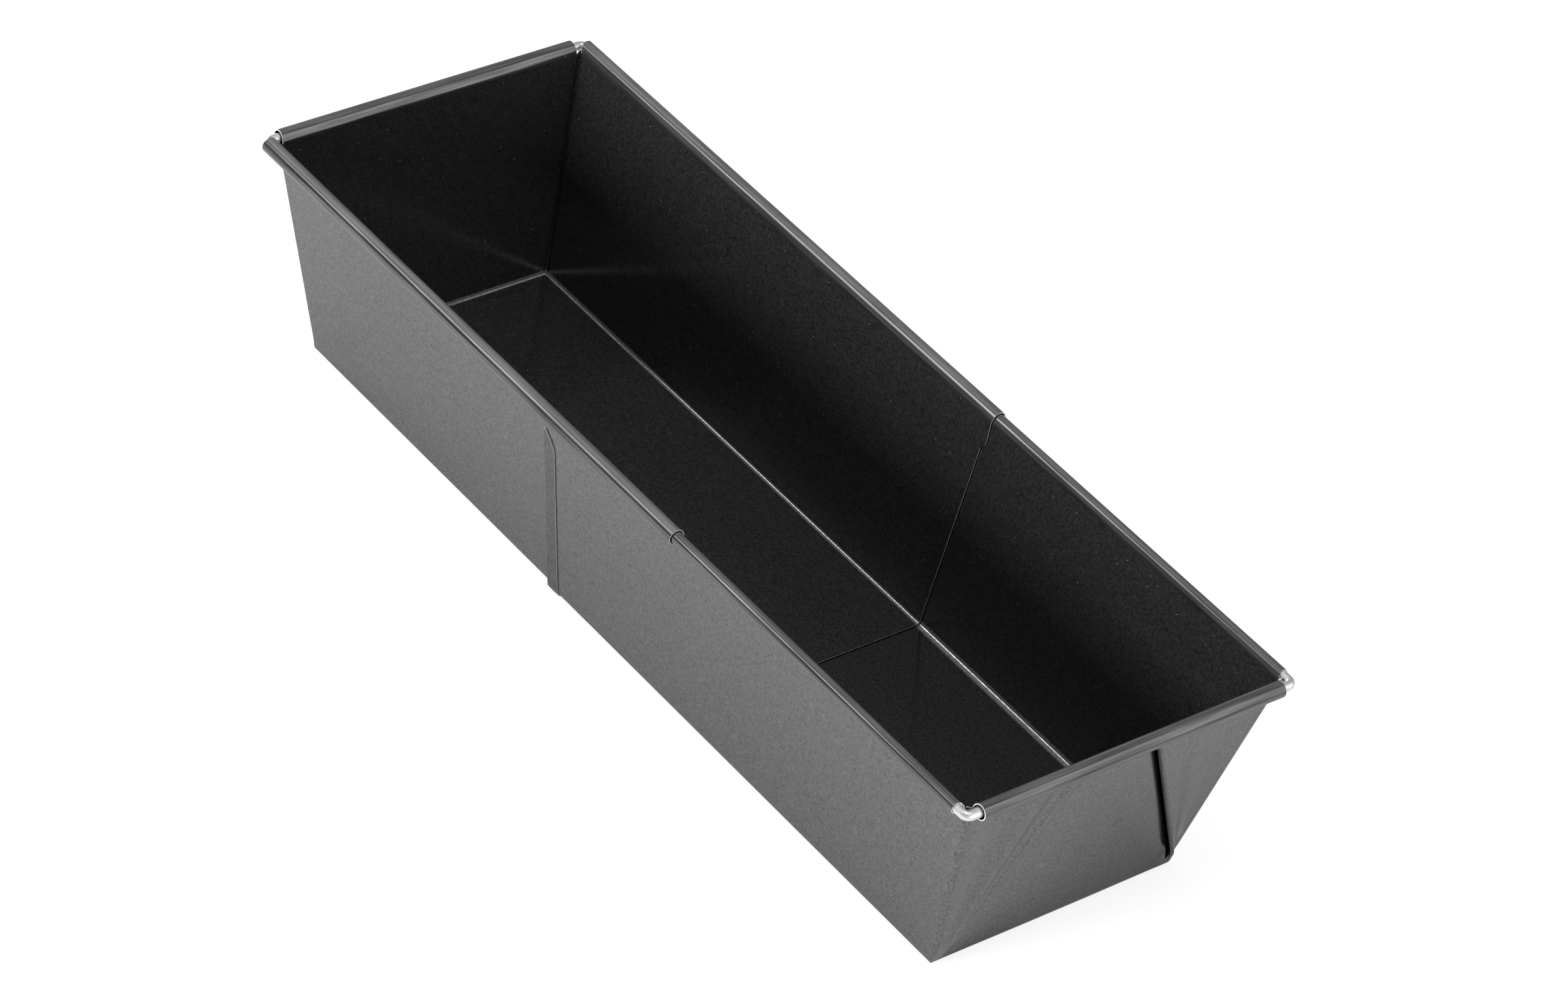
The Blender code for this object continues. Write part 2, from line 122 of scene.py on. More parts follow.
# how far the foot of each wall stands out from the wall's plain lean
OUTER_FOOT_SHIFTS = {1: 0.0016, -1: 0.0, "end": 0.0005}
INNER_FOOT_SHIFTS = {1: 0.0016, -1: -0.0005, "end": 0.0}
# columns of points along the walls, those of the end wall crowded near the corners
SIDE_STATIONS = 40
END_STATIONS = 24
END_STATION_CROWDING = 1.5
END_ROOT_COLUMN = SIDE_STATIONS + CORNER_STEPS + 2
MIDDLE_COLUMN = END_ROOT_COLUMN + END_STATIONS

# folded ears on the end walls: two sheets thick, from the floor up to the end roll, higher at the corner
EAR_PLAY = 0.0001
EAR_THICKNESS = 2 * SHEET + EAR_PLAY
EAR_ROLL_CLEARANCE = 0.0003
EAR_TOP_Z = RIM_Z - END_ROLL_RADIUS - EAR_ROLL_CLEARANCE
EAR_CORNER_TOP_Z = RIM_Z - 0.0021
# heights above the floor where an ear starts and where it has its full thickness
EAR_START = 0.0024
EAR_FULL = 0.0095
# how far in from the side wall the free edge starts, and how far the root runs on past the corner
EAR_FOOT_INSET = 0.0015
EAR_ROOT_RUN = 0.0003
# how deep an ear's back lies in the end wall, and how far off it a sprung ear's back is drawn free of it
EAR_EMBED = SHEET / 2
EAR_LOOSE = 0.0002
# how far the root's face starts under the side wall's, so that the two don't share a plane
EAR_SINK = 0.00002
EAR_LEVELS = 44
EAR_FRONT_STEPS = 52
EAR_EDGE_STEPS = 12

# faces of the ears: slope away from the end wall, by share of the way from the corner to the free edge
RIPPLED_FACE = ((0.0, 0.0), (0.08, -0.068), (0.18, -0.121), (0.30, -0.014), (0.42, 0.095), (0.52, 0.108),
                (0.62, 0.0), (0.72, -0.176), (0.80, 0.0), (0.87, 0.203), (0.925, 0.0), (0.97, -0.121),
                (1.0, 0.0))
PRESSED_FACE = ((0.0, 0.0), (0.15, -0.03), (0.40, 0.02), (0.65, 0.03), (0.80, -0.04), (0.90, 0.05),
                (1.0, 0.0))
SPRUNG_FACE = ((0.0, 0.0), (0.10, 0.6), (0.30, 0.7), (0.45, 1.3), (0.58, 1.5), (0.73, 0.1), (0.86, 1.6),
               (1.0, 1.2))
# heights over which the ripples and the spring of an ear grow, and the ear's spring and edge loop
RIPPLE_FULL = 0.030
SPRING_FULL = 0.011
SPRING_AT_FOOT = 0.0019
SPRING_AT_TOP = 0.0024
LOOP_AT_FOOT = 0.0007
LOOP_AT_TOP = 0.0011

# rim wires
WIRE_BEND = 0.0017
WIRE_FACETS = 40
WIRE_BEND_STEPS = 18
OUTER_WIRE_END_X = OUTER_OPEN_X + 0.0010
INNER_WIRE_LEG = 0.0225

# coating: reflectance of plain faces, of the bends into the floor and of the hem
PLAIN_IOR = 2.3
BEND_IOR = 3.5
HEM_IOR = 1.80
COATING_ROUGHNESS = 0.14
# darkest and lightest tone of the grain, and those of the tops of the rolls, lighter as wear and as a
# painted highlight
COATING_TINT = (1, 1.01, 1.03)
PLAIN_TONES = (0.009, 0.023)
# the bends into the floor have lighter tones: a painted highlight along each bend
BEND_PAINTED_HIGHLIGHT_TONES = (0.09, 0.18)
BEAD_WEAR_AND_PAINTED_HIGHLIGHT = (0.05, 0.10)
SLIDE_ROLL_WEAR_AND_PAINTED_HIGHLIGHT = (0.09, 0.17)
END_ROLL_WEAR_AND_PAINTED_HIGHLIGHT = (0.05, 0.11)
# shares of a roll's radius above its centre line between which the wear and the painted highlight set in
WEAR_AND_HIGHLIGHT_SPAN = (0.70, 0.93)
# grain, drawn out along the rolls
GRAIN_SCALE = 1300
GRAIN_DETAIL = 3
GRAIN_SPAN = (0.34, 0.66)
GLOSS_SPAN = (0.3, 0.7)
GLOSS_LEVELS = (0.28, 0.72)
GRAIN_BUMP = 0.15
GRAIN_DEPTH = 0.00005
EVEN = (1, 1, 1)
ALONG_X = (0.03, 1, 1)
ALONG_Y = (1, 0.03, 1)
# painted shade in tight folds, a near-black colour and a weaker gloss: how far a face looks round itself,
# and the open shares between which the painted shade clears
PAINTED_SHADE_SAMPLES = 8
PAINTED_SHADE_REACH = 0.0020
PAINTED_SHADE_SPAN = (0.45, 0.85)
PAINTED_SHADE_TONE = 0.001
# light specks
SPECK_SCALE = 400
SPECK_SIZE = 0.07
SPECK_RARITY = 0.6
SPECK_TONE = 0.15

# bare steel of the cut edges and of the wires
PLAIN_DETAIL = 2
FULL_SPAN = (0, 1)
CUT_EDGE_SCALE = 900
CUT_EDGE_COLOURS = ((0.70, 0.70, 0.70, 1), (0.95, 0.95, 0.94, 1))
CUT_EDGE_METALLIC = 0.4
CUT_EDGE_ROUGHNESS = 0.35
WIRE_SCALE = 1500
WIRE_COLOURS = ((0.90, 0.90, 0.89, 1), (0.97, 0.97, 0.96, 1))
WIRE_METALLIC = 0.9
WIRE_ROUGHNESS = 0.42

# shading of the pieces
SHARP_ANGLE = math.radians(32)
NORMAL_WEIGHT = 100

# floor: what it gives back to the light, and its lit share and own glow as the camera and the gloss see it
FLOOR_HALF_SIZE = 6.0
FLOOR_SINK = 0.0001
FLOOR_TONE = 0.80
CAMERA_FLOOR = (0.35, 0.82)
GLOSSY_FLOOR = (0.85, 0.03)
# the gloss sees a painted pool of light round the pan: the floor's lit share fades to FLOOR_FAR_SHARE
# between these distances from the pan
FLOOR_FADE = (0.04, 0.14)
FLOOR_FAR_SHARE = 0.8

# studio: each softbox's name, azimuth from +X and elevation in degrees, width and power
WORLD_STRENGTH = 0.22
SOFTBOX_DISTANCE = 1.9
SOFTBOX_TARGET = Vector((0, 0, 0.03))
SOFTBOXES = (("key_softbox", 226, 36, 0.5, 2.2),
             ("left_softbox", 265, 14, 0.6, 50),
             ("back_softbox", 180, 12, 0.9, 21),
             ("right_softbox", 42, 24, 2.0, 11.0),
             ("front_softbox", 0, 12, 0.9, 9.0),
             ("top_softbox", 0, 90, 1.2, 7.5))
# lamp whose own mirror image is kept out of the glossy walls
UNMIRRORED = "left_softbox"

# the photograph's camera, solved from the pan's straight edges
CAMERA_AZIMUTH = math.radians(45.86)
CAMERA_ELEVATION = math.radians(38.03)
CAMERA_ROLL = math.radians(10.87)
CAMERA_DISTANCE = 1.6634
CAMERA_TARGET = Vector((0.00271, 0.01243, 0.0354))
# focal length in the photograph's own pixels
FOCAL_PX = 9323.4
PHOTO_WIDTH = 2408
SENSOR_WIDTH = 36.0
CLIP_RANGE = (0.05, 50)


def smooth_step(value):
    """Rises smoothly from 0 to 1 while value goes from 0 to 1."""
    value = min(max(value, 0.0), 1.0)
    return value * value * (3 - 2 * value)


def wall_place(rim, roll_radius, shift, z):
    """Outer face of a leaning wall at height z, from its rim's place, its roll and its foot's shift."""
    at_rim = rim - (roll_radius - SHEET) / math.cos(LEAN) - ROOT_EASE
    return at_rim - (RIM_Z - z) * (math.tan(LEAN) - (shift + ROOT_EASE) / RIM_Z)


class Tray:
    """Sizes of one tray, described with its closed end towards +X."""

    def __init__(self, side_roll_radius, side_roll_stop, side_roll_tip, floor_z, bend, end_bends, corners,
                 foot_shifts):
        self.side_roll_radius = side_roll_radius
        self.side_roll_stop = side_roll_stop
        self.side_roll_tip = side_roll_tip
        self.floor_z = floor_z
        self.bend = bend
        self.end_bends = end_bends
        self.corners = corners
        self.foot_shifts = foot_shifts

    def side_y(self, z, side):
        """Outer face of one side wall at height z."""
        return wall_place(SIDE_RIM_Y, self.side_roll_radius, self.foot_shifts[side], z)

    def end_x(self, z):
        """Outer face of the end wall at height z."""
        return wall_place(END_RIM_X, END_ROLL_RADIUS, self.foot_shifts["end"], z)

    def end_bend(self, share):
        """Bend radius below the end wall, by share of the way from the corner to the wall's middle."""
        tight, easy = self.end_bends
        bend = self.bend + (tight - self.bend) * smooth_step(share / END_BEND_TIGHT_SHARE)
        return bend + (easy - tight) * smooth_step(share / END_BEND_EASY_SHARE)

    def corner_radius(self, z, side):
        """Plan radius of one upright corner, tighter under the rim."""
        high, low, foot = self.corners[side]
        radius = high + (low - high) * (NOTCH_Z - z) / NOTCH_Z
        radius += (foot - radius) * (1 - smooth_step((z - self.floor_z) / FOOT_HEIGHT))
        share = smooth_step((NOTCH_Z - z) / CORNER_OPENING)
        return CORNER_TOP_RADIUS + (radius - CORNER_TOP_RADIUS) * share


class FoldedSheet:
    """A folded sheet kept as points that each hold a pan-side and an outer-side position."""

    CUT_EDGE_FINISH = 1
    FINISHES = {"side": 2, "end": 3, "hem": 4}
    # material of the pan side of the bends, with its painted highlight
    BEND_PAINTED_HIGHLIGHT_INDEX = 5

    def __init__(self, first_bend_row):
        self.points = {}
        self.faces = []
        self.first_bend_row = first_bend_row

    def add(self, key, pan_side, outer_side):
        """Adds one point of the sheet under a key that starts with its row or its form."""
        self.points[key] = (Vector(pan_side), Vector(outer_side))

    def face(self, *keys):
        """Adds a face through the points of these keys, in order."""
        self.faces.append(keys)

    def solid(self):
        """Gives the sheet its thickness, with a material of its own for cut edges, rolls, hem and bends;
        the bends' carries a painted highlight.
        """
        mesh = bmesh.new()
        pan = {}
        outer = {}
        for key, (pan_side, outer_side) in self.points.items():
            pan[key] = mesh.verts.new(pan_side)
            outer[key] = mesh.verts.new(outer_side)
        uses = {}
        for keys in self.faces:
            finish = max(self.FINISHES.get(key[0], 0) for key in keys)
            pan_face = mesh.faces.new([pan[key] for key in keys])
            pan_face.material_index = finish
            # the pan side of the bends gets the bends' painted highlight; the floor's one large face stays
            # plain
            if finish == 0 and len(keys) == 4 and min(key[0] for key in keys) >= self.first_bend_row:
                pan_face.material_index = self.BEND_PAINTED_HIGHLIGHT_INDEX
            mesh.faces.new([outer[key] for key in reversed(keys)]).material_index = finish
            for first, second in zip(keys, keys[1:] + keys[:1]):
                uses.setdefault(frozenset((first, second)), []).append((first, second))
        for directions in uses.values():
            if len(directions) == 1:
                first, second = directions[0]
                edge = mesh.faces.new((pan[second], pan[first], outer[first], outer[second]))
                edge.material_index = self.CUT_EDGE_FINISH
        return mesh


def tray_levels():
    """Rows below the rim row: heights down the wall, then angles round the bend into the floor."""
    rows = [("wall", RIM_Z - depth) for depth in DEPTHS_BELOW_RIM]
    for step in range(BEND_STEPS + 1):
        turn = -LEAN - (math.pi / 2 - LEAN) * step / BEND_STEPS
        rows.append(("bend", turn))
    return rows


def row_shape(tray, row, offset, bend, hand):
    """Half width, end position, corner radius and height of one row, offset in from the outer face."""
    kind, value = row
    tangent_z = tray.floor_z + bend * (1 - math.sin(LEAN))
    if kind == "wall":
        if value < LOWEST_PLAIN_Z:
            plain_z = tray.floor_z + tray.bend * (1 - math.sin(LEAN))
            share = (value - plain_z) / (LOWEST_PLAIN_Z - plain_z)
            value = tangent_z + (LOWEST_PLAIN_Z - tangent_z) * share
        side = tray.side_y(value, hand) - offset * math.cos(LEAN)
        end = tray.end_x(value) - offset * math.cos(LEAN)
        radius = max(tray.corner_radius(value, hand) - offset, CORNER_LEAST_RADIUS)
        return side, end, radius, value + offset * math.sin(LEAN)
    centre_z = tray.floor_z + bend
    reach = (bend - offset) * math.cos(value)
    side = tray.side_y(centre_z, hand) - bend / math.cos(LEAN) + reach
    end = tray.end_x(centre_z) - bend / math.cos(LEAN) + reach
    radius = max(tray.corner_radius(centre_z, hand) - bend + reach / math.cos(LEAN), CORNER_LEAST_RADIUS)
    return side, end, radius, centre_z + (bend - offset) * math.sin(value)


def end_share(step):
    """Share of the way from the corner to the middle of the end wall, crowded near the corner."""
    return (step / END_STATIONS) ** END_STATION_CROWDING


def half_outline(tray, row, offset, open_x, hand):
    """Points of one row on one half, as if on +Y: side wall, corner arc, end wall up to its middle."""
    side, end, radius, z = row_shape(tray, row, offset, tray.bend, hand)
    root_run = tray.end_x(NOTCH_Z) - CORNER_TOP_RADIUS - ROLL_ROOT_X
    end_run = tray.side_y(NOTCH_Z, hand) - CORNER_TOP_RADIUS - END_ROLL_ROOT_Y
    root_x = end - radius - root_run
    points = [(open_x + (root_x - open_x) * step / SIDE_STATIONS, side, z)
              for step in range(SIDE_STATIONS + 1)]
    for step in range(CORNER_STEPS + 1):
        turn = math.pi / 2 * (1 - step / CORNER_STEPS)
        points.append((end - radius + radius * math.cos(turn),
                       side - radius + radius * math.sin(turn), z))
    root_y = side - radius - end_run
    for step in range(END_STATIONS + 1):
        share = end_share(step)
        bend = tray.end_bend(share)
        _, end_here, _, z_here = row_shape(tray, row, offset, bend, hand)
        fading = 1 - smooth_step((z_here - bend) / END_BULGE_TOP)
        bulge = END_BULGE_PER_BEND * (bend - tray.bend) * fading
        points.append((end_here + bulge, root_y * (1 - share), z_here))
    return points


def rim_outline(tray, offset, open_x, hand):
    """Points of the rim row: roll roots at their tangent height, the corner cut down to the notch."""
    lift = offset * math.sin(LEAN)
    roll_z = RIM_Z + roll_place(tray.side_roll_radius - SHEET, math.pi - LEAN)[1]
    end_z = RIM_Z + roll_place(END_ROLL_RADIUS - SHEET, math.pi - LEAN)[1]
    points = half_outline(tray, ("wall", NOTCH_Z), offset, open_x, hand)
    side = tray.side_y(roll_z, hand) - offset * math.cos(LEAN)
    end = tray.end_x(end_z) - offset * math.cos(LEAN)
    for step in range(SIDE_STATIONS + 1):
        x = open_x + (ROLL_ROOT_X - open_x) * step / SIDE_STATIONS
        points[step] = (x, side, roll_z + lift)
    for step in range(END_STATIONS + 1):
        points[END_ROOT_COLUMN + step] = (end, END_ROLL_ROOT_Y * (1 - end_share(step)), end_z + lift)
    return points


def build_walls(sheet, tray, open_edge):
    """Adds walls, corners, bends and floor. open_edge gives the open end's X for a row number."""
    rows = tray_levels()

    def key(number, column, side):
        """Key of one point. Both halves share the column in the middle of the end wall."""
        return (number, column, 1 if column == MIDDLE_COLUMN else side)

    for number in range(len(rows) + 1):
        for side in (1, -1):
            outlines = []
            for offset in (SHEET, 0.0):
                if number == 0:
                    outlines.append(rim_outline(tray, offset, open_edge(0), side))
                else:
                    outlines.append(half_outline(tray, rows[number - 1], offset, open_edge(number), side))
            for column, (pan, outer) in enumerate(zip(*outlines)):
                if side > 0 or column < MIDDLE_COLUMN:
                    sheet.add((number, column, side), (pan[0], side * pan[1], pan[2]),
                              (outer[0], side * outer[1], outer[2]))
    for number in range(len(rows)):
        for column in range(MIDDLE_COLUMN):
            sheet.face(key(number, column, 1), key(number, column + 1, 1),
                       key(number + 1, column + 1, 1), key(number + 1, column, 1))
            sheet.face(key(number, column + 1, -1), key(number, column, -1),
                       key(number + 1, column, -1), key(number + 1, column + 1, -1))
    floor_row = len(rows)
    loop = [(floor_row, column, 1) for column in range(MIDDLE_COLUMN + 1)]
    loop += [(floor_row, column, -1) for column in range(MIDDLE_COLUMN - 1, -1, -1)]
    sheet.face(*loop)


def roll_place(radius, angle):
    """Place across and above the rim's centre line at one angle of a roll, with its wider root."""
    joint = math.pi - ROOT_TURN
    if angle <= joint:
        return radius * math.cos(angle), radius * math.sin(angle)
    wide = radius + ROOT_WIDER
    return (wide * math.cos(angle) - ROOT_WIDER * math.cos(joint),
            wide * math.sin(angle) - ROOT_WIDER * math.sin(joint))


def roll_angles(stop):
    """Angles round a roll, from where the wall meets it to its cut edge."""
    start = math.pi - LEAN
    return [start + (stop - start) * step / ROLL_STEPS for step in range(1, ROLL_STEPS + 1)]


def tip_place(root, tip, step):
    """Where a roll's end lies at one step: it runs out from the root to the tip."""
    return root + (tip - root) * smooth_step((step + 1) / TIP_STEPS)


def build_side_rolls(sheet, tray, open_x):
    """Adds the rolled rims of both long sides."""
    for side in (1, -1):
        previous = [(0, station, side) for station in range(SIDE_STATIONS + 1)]
        for step, angle in enumerate(roll_angles(tray.side_roll_stop)):
            tip_x = tip_place(ROLL_ROOT_X, tray.side_roll_tip, step)
            current = []
            for station in range(SIDE_STATIONS + 1):
                x = open_x + (tip_x - open_x) * station / SIDE_STATIONS
                faces = []
                for radius in (tray.side_roll_radius, tray.side_roll_radius - SHEET):
                    across, above = roll_place(radius, angle)
                    faces.append((x, side * (SIDE_RIM_Y + across), RIM_Z + above))
                key = ("side", step, station, side)
                sheet.add(key, *faces)
                current.append(key)
            for index in range(SIDE_STATIONS):
                order = (current[index], current[index + 1], previous[index + 1], previous[index])
                sheet.face(*(order if side > 0 else order[::-1]))
            previous = current


def build_end_roll(sheet):
    """Adds the rolled rim of the closed end."""
    columns = [(step, 1) for step in range(END_STATIONS + 1)]
    columns += [(step, -1) for step in range(END_STATIONS - 1, -1, -1)]
    previous = [(0, END_ROOT_COLUMN + step, side) for step, side in columns]
    count = len(previous)
    for step, angle in enumerate(roll_angles(END_ROLL_STOP)):
        tip_y = tip_place(END_ROLL_ROOT_Y, END_ROLL_TIP_Y, step)
        current = []
        for index, (column, side) in enumerate(columns):
            y = side * tip_y * (1 - end_share(column))
            faces = []
            for radius in (END_ROLL_RADIUS, END_ROLL_RADIUS - SHEET):
                across, above = roll_place(radius, angle)
                faces.append((END_RIM_X + across, y, RIM_Z + above))
            key = ("end", step, index)
            sheet.add(key, *faces)
            current.append(key)
        for index in range(count - 1):
            sheet.face(current[index], current[index + 1], previous[index + 1], previous[index])
        previous = current


def build_hem(sheet, fold_x):
    """Folds the outer tray's open end back on itself on the outside, all round."""
    rows = tray_levels()
    inner_radius = HEM_CLEARANCE / 2
    outer_radius = inner_radius + SHEET
    numbers = list(range(HEM_TOP_LEVEL, len(rows) + 1))
    path = [(number, 1) for number in numbers] + [(number, -1) for number in reversed(numbers)]
    previous = [(number, 0, side) for number, side in path]
    turns = [math.pi * step / HEM_STEPS for step in range(1, HEM_STEPS + 1)]
    stations = [(turn, False) for turn in turns] + [(math.pi, True)]
    for column, (turn, at_cut_edge) in enumerate(stations):
        current = []
        for number, side in path:
            kind, value = rows[number - 1]
            slope = -LEAN if kind == "wall" else value
            out = Vector((0, side * math.cos(slope), math.sin(slope)))
            foot = sheet.points[(number, 0, side)][1]
            reach = 0.0
            if at_cut_edge:
                slant = number - HEM_TOP_LEVEL
                reach = HEM_SLANT_WIDTHS[slant] if slant < len(HEM_SLANT_WIDTHS) else HEM_WIDTH
            spots = []
            for radius in (outer_radius, inner_radius):
                spot = foot + out * (inner_radius - radius * math.cos(turn))
                spot.x = fold_x - radius * math.sin(turn) + reach
                spots.append(spot)
            key = ("hem", column, number, side)
            sheet.add(key, *spots)
            current.append(key)
        for index in range(len(path) - 1):
            sheet.face(current[index], previous[index], previous[index + 1], current[index + 1])
        previous = current


def read_profile(points, share):
    """Value at a share along a list of (share, value) points, with a smooth run between them."""
    for (before, first), (after, second) in zip(points, points[1:]):
        if share <= after:
            return first + (second - first) * smooth_step((share - before) / (after - before))
    return points[-1][1]


def face_heights(slopes):
    """Height gained along an ear's face per width of ear, from the corner to the free edge."""
    heights = [0.0]
    for step in range(EAR_FRONT_STEPS):
        slope = read_profile(slopes, (step + 0.5) / EAR_FRONT_STEPS)
        heights.append(heights[-1] + slope / EAR_FRONT_STEPS)
    return heights


def ear_section(tray, z, side, slopes, sprung):
    """Plan outline of one folded ear at height z: its front, the back opposite, and its free edge.

    Each point is first kept as its depth behind the ear's face and its distance in from the side wall.
    """
    rise = z - tray.floor_z
    thickness = EAR_THICKNESS * smooth_step(rise / EAR_FULL) / math.cos(LEAN)
    radius = tray.corner_radius(z, side)
    wrap = radius + thickness
    inner = radius - EAR_EMBED
    side_y = tray.side_y(z, side)
    fold_angle = math.pi / 4 - 2 * math.atan(math.sin(LEAN))
    foot_y = tray.side_y(tray.floor_z, side) - EAR_FOOT_INSET
    free_y = foot_y - rise * math.tan(fold_angle) / math.cos(LEAN)

    front = [(wrap + EAR_ROOT_RUN, EAR_SINK)]
    back = [(wrap + 2 * EAR_ROOT_RUN, EAR_EMBED)]
    for step in range(CORNER_STEPS + 1):
        turn = math.pi / 2 * step / CORNER_STEPS
        front.append((wrap - wrap * math.sin(turn), wrap + EAR_SINK - wrap * math.cos(turn)))
        back.append((wrap - inner * math.sin(turn), radius - inner * math.cos(turn)))

    height_share = rise / (EAR_TOP_Z - tray.floor_z)
    loop = thickness / 2
    heights = face_heights(slopes)
    if sprung:
        grown = smooth_step(rise / SPRING_FULL)
        full_loop = LOOP_AT_FOOT + (LOOP_AT_TOP - LOOP_AT_FOOT) * height_share
        loop += (full_loop - loop) * grown
        spring = SPRING_AT_FOOT + (SPRING_AT_TOP - SPRING_AT_FOOT) * height_share
        scale = spring * grown / heights[-1]
    else:
        scale = (side_y - free_y) * smooth_step(rise / RIPPLE_FULL)
    start_v = wrap + EAR_SINK
    stop_v = side_y - free_y - loop
    for step in range(1, EAR_FRONT_STEPS + 1):
        share = step / EAR_FRONT_STEPS
        raised = heights[step] * scale
        depth = thickness + (2 * loop - thickness) * smooth_step(share)
        v = start_v + (stop_v - start_v) * share
        front.append((-raised, v))
        stands_free = sprung and raised + thickness - depth > EAR_LOOSE
        back.append((depth - raised if stands_free else thickness + EAR_EMBED, v))
    if back[-1][0] > thickness:
        loop = (back[-1][0] - front[-1][0]) / 2

    edge = []
    for step in range(1, EAR_EDGE_STEPS):
        turn = math.pi * step / EAR_EDGE_STEPS
        edge.append((loop - loop * math.cos(turn) - raised, stop_v + loop * math.sin(turn)))

    front_x = tray.end_x(z) + thickness
    return [[Vector((front_x - u, side * (side_y - v), z)) for u, v in points]
            for points in (front, back, edge)]


def build_ear(mesh, tray, side, slopes, sprung):
    """Adds one folded ear to a tray's mesh."""
    bottom = tray.floor_z + EAR_START
    at_corner = CORNER_STEPS + 2
    rings = []
    for level in range(EAR_LEVELS + 1):
        share = level / EAR_LEVELS
        front, back, edge = ear_section(tray, bottom + (EAR_TOP_Z - bottom) * share, side, slopes, sprung)
        corner_z = bottom + (EAR_CORNER_TOP_Z - bottom) * share
        corner_front, corner_back, _ = ear_section(tray, corner_z, side, slopes, sprung)
        front[:at_corner] = corner_front[:at_corner]
        back[:at_corner] = corner_back[:at_corner]
        rings.append([mesh.verts.new(point) for point in front + edge + back[::-1]])
    count = len(rings[0])
    faces = []
    for lower, upper in zip(rings, rings[1:]):
        for index in range(count):
            following = (index + 1) % count
            corners = (lower[index], lower[following], upper[following], upper[index])
            faces.append(mesh.faces.new(corners))
    for ring in (rings[0], rings[-1]):
        for index in range(len(front) - 1):
            opposite = count - 1 - index
            corners = (ring[index], ring[index + 1], ring[opposite - 1], ring[opposite])
            faces.append(mesh.faces.new(corners))
        faces.append(mesh.faces.new(ring[len(front) - 1:count - len(back) + 1]))
    bmesh.ops.recalc_face_normals(mesh, faces=faces)


def mirror_mesh(mesh):
    """Turns a mesh built with its closed end towards +X to face -X."""
    for vert in mesh.verts:
        vert.co.x = -vert.co.x
    bmesh.ops.reverse_faces(mesh, faces=mesh.faces[:])


def make_piece(name, mesh, materials, body, node):
    """Writes a bmesh into a smooth-shaded piece that rides on a body and stands for a CAD node."""
    data = bpy.data.meshes.new(name)
    mesh.to_mesh(data)
    mesh.free()
    for material in materials:
        data.materials.append(material)
    data.shade_smooth()
    data.set_sharp_from_angle(angle=SHARP_ANGLE)
    item = bpy.data.objects.new(name, data)
    bpy.context.scene.collection.objects.link(item)
    normals = item.modifiers.new("weighted_normals", "WEIGHTED_NORMAL")
    normals.keep_sharp = True
    normals.weight = NORMAL_WEIGHT
    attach(item, body)
    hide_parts(node)


def build_tray(body, tray, materials, open_edge, roll_open_x, ears, inner=False):
    """One tray: folded sheet with rolled rims and two ears. The outer has a hem, the inner faces -X.

    The materials are those of plain faces, cut edges, side rolls, end roll, hem and bends.
    """
    sheet = FoldedSheet(len(DEPTHS_BELOW_RIM) + 1)
    build_walls(sheet, tray, open_edge)
    build_side_rolls(sheet, tray, roll_open_x)
    build_end_roll(sheet)
    if not inner:
        build_hem(sheet, open_edge(HEM_FULL_LEVEL))
    mesh = sheet.solid()
    bmesh.ops.recalc_face_normals(mesh, faces=mesh.faces[:])
    for side, slopes, sprung in ears:
        build_ear(mesh, tray, side, slopes, sprung)
    if inner:
        mirror_mesh(mesh)
    make_piece(body + "_sheet", mesh, materials, body, body)


def wire_path(end_x):
    """Centre line of a rim wire from one leg's end, round both corners, to the other leg's end."""
    path = [Vector((end_x, -SIDE_RIM_Y, RIM_Z))]
    centre_x = END_RIM_X - WIRE_BEND
    centre_y = SIDE_RIM_Y - WIRE_BEND
    for side, first_turn in ((-1, -math.pi / 2), (1, 0.0)):
        for step in range(WIRE_BEND_STEPS + 1):
            turn = first_turn + math.pi / 2 * step / WIRE_BEND_STEPS
            x = centre_x + WIRE_BEND * math.cos(turn)
            y = side * centre_y + WIRE_BEND * math.sin(turn)
            path.append(Vector((x, y, RIM_Z)))
    path.append(Vector((end_x, SIDE_RIM_Y, RIM_Z)))
    return path


def build_wire(body, material, end_x, inner=False):
    """A round wire bent to a U, swept along its centre line. The inner tray's faces -X."""
    path = wire_path(end_x)
    mesh = bmesh.new()
    rings = []
    for index, centre in enumerate(path):
        before = path[max(index - 1, 0)]
        after = path[min(index + 1, len(path) - 1)]
        across = (after - before).normalized().cross(Vector((0, 0, 1)))
        ring = []
        for facet in range(WIRE_FACETS):
            turn = 2 * math.pi * facet / WIRE_FACETS
            spoke = across * math.cos(turn) + Vector((0, 0, 1)) * math.sin(turn)
            ring.append(mesh.verts.new(centre + spoke * WIRE_RADIUS))
        rings.append(ring)
    for first, second in zip(rings, rings[1:]):
        for facet in range(WIRE_FACETS):
            following = (facet + 1) % WIRE_FACETS
            mesh.faces.new((first[facet], first[following], second[following], second[facet]))
    mesh.faces.new(rings[0])
    mesh.faces.new(rings[-1])
    bmesh.ops.recalc_face_normals(mesh, faces=mesh.faces[:])
    if inner:
        mirror_mesh(mesh)
    make_piece(body + "_wire", mesh, [material], body, body + "_rim_wire")


def outer_open_edge(row):
    """Open end of the outer tray: the hem's fold stands where the plain edge would be."""
    if row < HEM_TOP_LEVEL:
        return OUTER_OPEN_X
    return OUTER_OPEN_X + SHEET + HEM_CLEARANCE / 2


def inner_open_edge(row):
    """Open end of the inner tray, described with its closed end towards +X."""
    if row == 0:
        return -INNER_ROLL_OPEN_X
    if row <= INNER_TAB_LEVEL:
        return -INNER_TAB_X
    return -INNER_OPEN_X


def new_material(name):
    """A fresh node material, with its nodes and its links."""
    material = bpy.data.materials.new(name)
    material.use_nodes = True
    return material, material.node_tree.nodes, material.node_tree.links


def grey(tone):
    """A neutral colour."""
    return (tone, tone, tone, 1)


